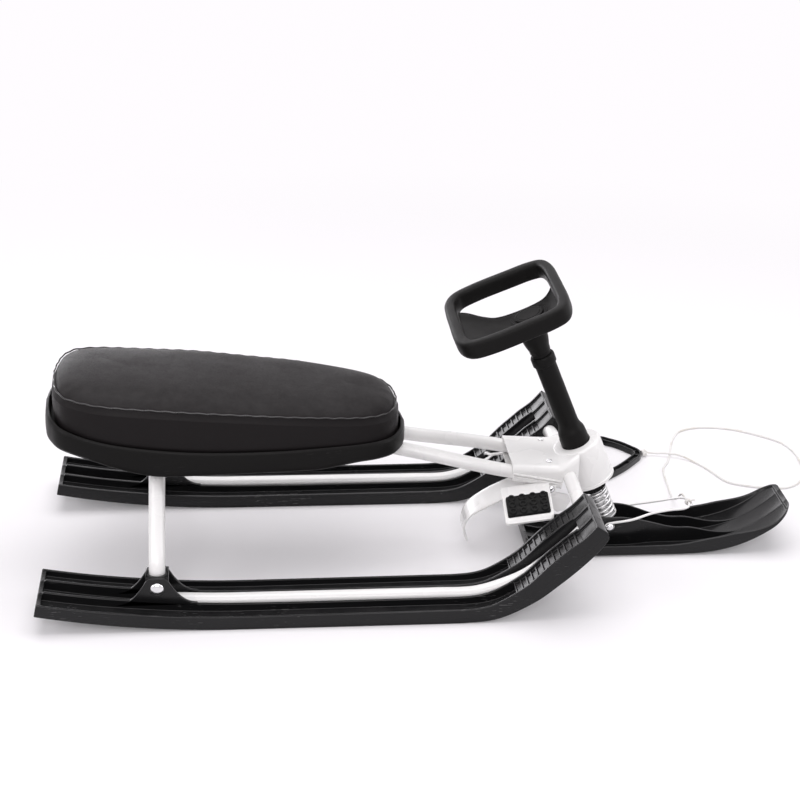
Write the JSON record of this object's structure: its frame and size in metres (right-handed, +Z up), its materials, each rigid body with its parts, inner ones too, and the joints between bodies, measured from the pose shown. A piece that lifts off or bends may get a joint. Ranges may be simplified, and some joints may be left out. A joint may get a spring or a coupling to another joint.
{
  "type": "steering sled",
  "caption": "Sit-on steering sled with twin channel runners, a sprung front ski turned by a wheel, a padded seat, a pedal brake and a tow rope.",
  "frame": {"origin": "on the ground, below the middle of the sled's length and width", "axes": "+X the way it travels, +Y the rider's left, +Z up"},
  "size_m": [1.3323, 0.6731, 0.4627],
  "materials": {
    "black_plastic": "gloss",
    "satin_plastic": "satin",
    "black_vinyl": "satin",
    "white_paint": "gloss",
    "chrome": "polished",
    "zinc_steel": "satin",
    "black_rubber": "matte",
    "white_cord": "matte"
  },
  "bodies": {
    "frame": {"rear_runner_right": "black_plastic", "rear_runner_left": "black_plastic", "front_hoop": "white_paint", "rear_leg_frame": "white_paint", "leg_bolt_right": "chrome", "leg_bolt_left": "chrome", "leg_nut_right": "chrome", "leg_nut_left": "chrome", "main_tube_right": "white_paint", "main_tube_left": "white_paint", "seat_tray": "satin_plastic", "seat_cushion": "black_vinyl", "seat_saddle_rear_right": "zinc_steel", "seat_saddle_rear_left": "zinc_steel", "seat_saddle_front_right": "zinc_steel", "seat_saddle_front_left": "zinc_steel", "head_tube": "white_paint", "head_upper_cover": "white_paint", "head_lower_cover": "white_paint", "cover_screw_right": "chrome", "cover_screw_left": "chrome", "brake_bolt_right": "chrome", "brake_bolt_left": "chrome", "tow_rope_run": "white_cord", "handle_knot": "white_cord", "tow_handle": "black_plastic"},
    "steering": {"steering_shaft": "zinc_steel", "spring_ring": "black_rubber", "column_sleeve": "satin_plastic", "steering_wheel": "satin_plastic", "wheel_badge": "satin_plastic", "suspension_spring": "zinc_steel"},
    "fork": {"ski_stem": "zinc_steel", "ski_pivot_bolt": "chrome", "ski_pivot_nut": "chrome"},
    "ski": {"front_ski": "black_plastic"},
    "bail": {"tow_bail": "white_paint", "bail_knot": "white_cord", "tow_rope_lead": "white_cord"},
    "brake": {"brake_lever": "white_paint", "pedal_pad_right": "black_rubber", "pedal_pad_left": "black_rubber"}
  },
  "joints": [
    {"name": "steering_turn", "type": "hinge", "parent": "frame", "child": "steering", "pos_m": [0.3253, 0, 0], "axis": [-0.3907, 0, 0.9205], "range_deg": [-25, 25]},
    {"name": "suspension", "type": "slide", "parent": "steering", "child": "fork", "axis": [-0.3907, 0, 0.9205], "range_m": [0, 0.012], "stiffness_N_per_m": 9000, "springref_m": -0.004, "deforming": ["suspension_spring"]},
    {"name": "ski_pitch", "type": "hinge", "parent": "fork", "child": "ski", "pos_m": [0.3083, 0, 0.04004], "axis": [0, 1, 0], "range_deg": [-8, 8]},
    {"name": "bail_lift", "type": "hinge", "parent": "fork", "child": "bail", "pos_m": [0.3083, 0, 0.04004], "axis": [0, -1, 0], "range_deg": [0, 60]},
    {"name": "brake_press", "type": "hinge", "parent": "frame", "child": "brake", "pos_m": [0.2, 0, 0.13], "axis": [0, -1, 0], "range_deg": [0, 8], "stiffness_Nm_per_rad": 3, "springref_deg": -14.32}
  ]
}
